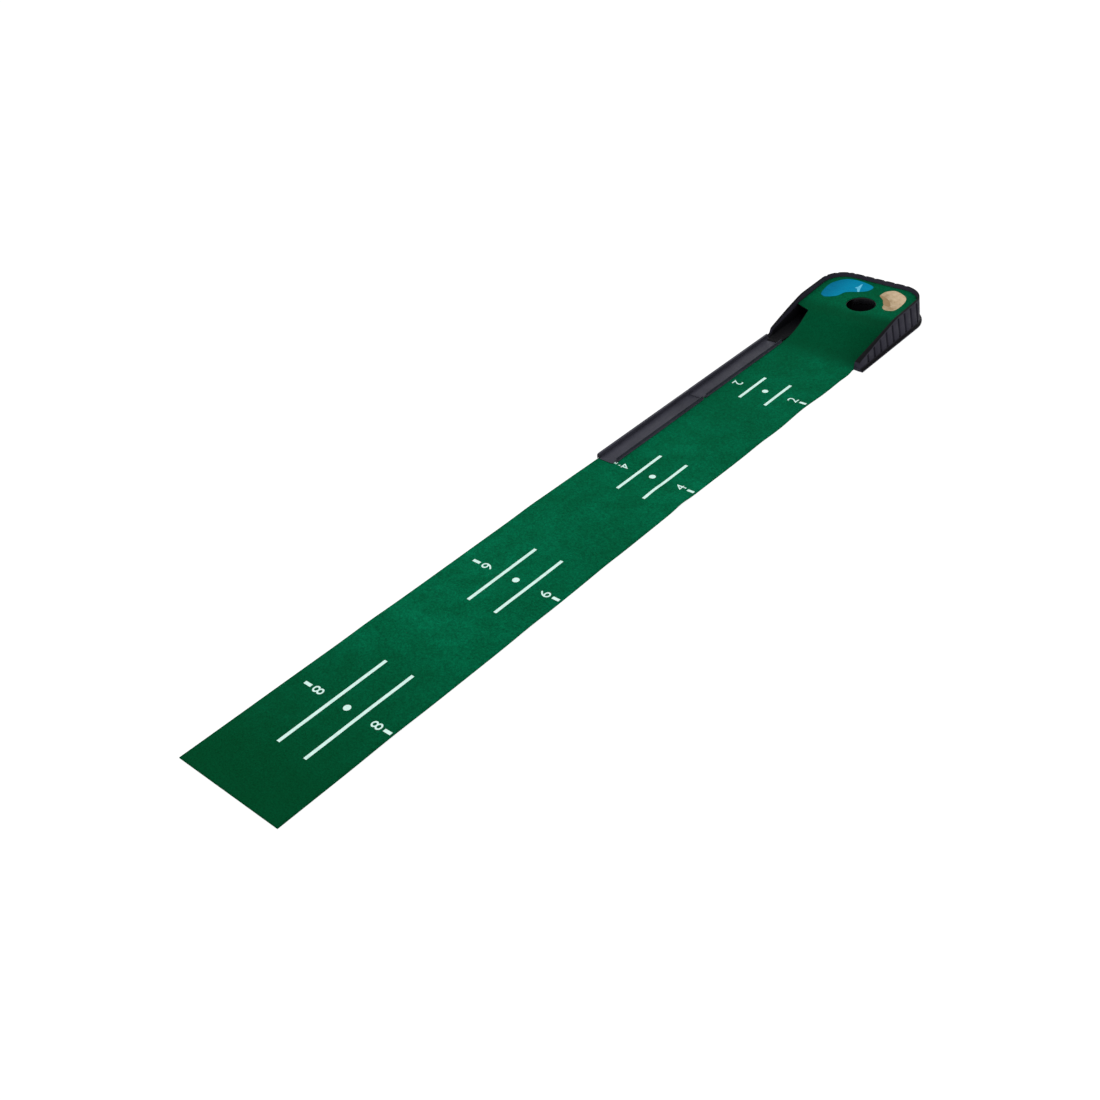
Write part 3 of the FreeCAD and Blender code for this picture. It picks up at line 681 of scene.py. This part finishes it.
soften(dress("ribbed_surround", HOUSING), 0.0006)
soften(dress("ramp_deck", SHADED_INNER), 0.0004)
soften(dress("cup_sleeve", SLEEVE), 0.0004)
soften(dress("return_gutter", SHADED_INNER), 0.0005)
for name in ("gutter_screws", "deck_screws"):
    dress(name, STEEL)
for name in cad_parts:
    if name.startswith("hook_strip"):
        dress(name, HOOKS)
    if name.startswith("foot_"):
        dress(name, RUBBER)
for name in ("track_upper", "track_lower"):
    soften(dress(name, TRACK), 0.0005)


# --- Stage, light and camera ------------------------------------------------------------------

def floor_material():
    """A floor that glows, for the photo's white ground."""
    material, tree, shader, where = nodes_of("studio_floor")
    tone = grain(tree, where, 2.0, 2.0, 0.5)
    tree.links.new(ramp(tree, tone, [(0.3, grey(0.16)), (0.7, grey(0.17))]), shader.inputs["Base Color"])
    shader.inputs["Emission Color"].default_value = (1.0, 1.0, 1.0, 1.0)
    shader.inputs["Emission Strength"].default_value = 0.88
    shader.inputs["Roughness"].default_value = 0.9
    shader.inputs["Specular IOR Level"].default_value = 0.1
    return material


def covered_material():
    """The floor under the housing, which gets no light: a dark sheet as painted shade."""
    material, tree, shader, where = nodes_of("painted_shade_floor")
    tone = grain(tree, where, 20.0, 2.0, 0.5)
    tree.links.new(ramp(tree, tone, [(0.3, grey(0.10)), (0.7, grey(0.14))]), shader.inputs["Base Color"])
    shader.inputs["Roughness"].default_value = 0.9
    return material


def flat_stage(name, points, z, material):
    """A flat stage piece on a plan outline."""
    mesh = bpy.data.meshes.new(name)
    mesh.from_pydata([(x, y, z) for x, y in points], [], [tuple(range(len(points)))])
    mesh.materials.append(material)
    made = bpy.data.objects.new(name, mesh)
    bpy.context.scene.collection.objects.link(made)


FLOOR_HALF = 60.0
FLOOR_PLAN = [(x * FLOOR_HALF, y * FLOOR_HALF) for x, y in ((-1, -1), (1, -1), (1, 1), (-1, 1))]
flat_stage("studio_floor", FLOOR_PLAN, -0.0002, floor_material())

# The dark patch is painted shade on the floor under the housing and keeps the glow from showing through
# the gate; its cut corners stay under the housing
CUT_CORNER = 0.06
surround_low, surround_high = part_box("ribbed_surround")
gutter_low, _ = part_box("return_gutter")
x0, x1 = surround_low.x + 0.018, surround_high.x - 0.04
y0, y1 = gutter_low.y + 0.014, surround_high.y - 0.02
shaded_floor_plan = [
    (x0, y0), (x1, y0), (x1, y1 - CUT_CORNER),
    (x1 - CUT_CORNER, y1), (x0 + CUT_CORNER, y1), (x0, y1 - CUT_CORNER),
]
flat_stage("painted_shade_floor", shaded_floor_plan, -0.0001, covered_material())

world = bpy.data.worlds.new("studio")
bpy.context.scene.world = world
world.use_nodes = True
world.node_tree.nodes["Background"].inputs["Color"].default_value = (1.0, 1.0, 1.0, 1.0)
world.node_tree.nodes["Background"].inputs["Strength"].default_value = 1.0


def soft_light(name, place, aim, width, power):
    """A large square softbox."""
    data = bpy.data.lights.new(name, "AREA")
    data.size = width
    data.energy = power
    lamp = bpy.data.objects.new(name, data)
    lamp.location = place
    lamp.rotation_mode = "QUATERNION"
    lamp.rotation_quaternion = (Vector(aim) - Vector(place)).to_track_quat("-Z", "Y")
    bpy.context.scene.collection.objects.link(lamp)


soft_light("key", (-2.2, -2.6, 3.0), (0, -1.0, 0), 2.4, 30)
soft_light("top", (0.4, -0.8, 3.4), (0, -1.2, 0), 2.0, 15)


def camera(azimuth, elevation, roll, focal, target, distance):
    """A camera given by where it looks from, as degrees round and above the target."""
    a, e, r = [math.radians(v) for v in (azimuth, elevation, roll)]
    back = Vector((math.sin(a) * math.cos(e), -math.cos(a) * math.cos(e), math.sin(e)))
    right = Vector((math.cos(a), math.sin(a), 0))
    up = right.cross(-back)
    turned_right = right * math.cos(r) + up * math.sin(r)
    turned_up = up * math.cos(r) - right * math.sin(r)
    data = bpy.data.cameras.new("camera")
    data.sensor_width = 36.0
    data.lens = focal
    data.clip_start, data.clip_end = 0.05, 200.0
    made = bpy.data.objects.new("camera", data)
    turn = Matrix((turned_right, turned_up, back)).transposed()
    made.matrix_world = Matrix.Translation(Vector(target) + back * distance) @ turn.to_4x4()
    bpy.context.scene.collection.objects.link(made)
    bpy.context.scene.camera = made


camera(
    azimuth=43.558, elevation=36.195, roll=-5.175, focal=41.274,
    target=(-0.0129, -1.6725, 0.003), distance=3.4787,
)
bpy.context.scene.view_settings.view_transform = "Standard"
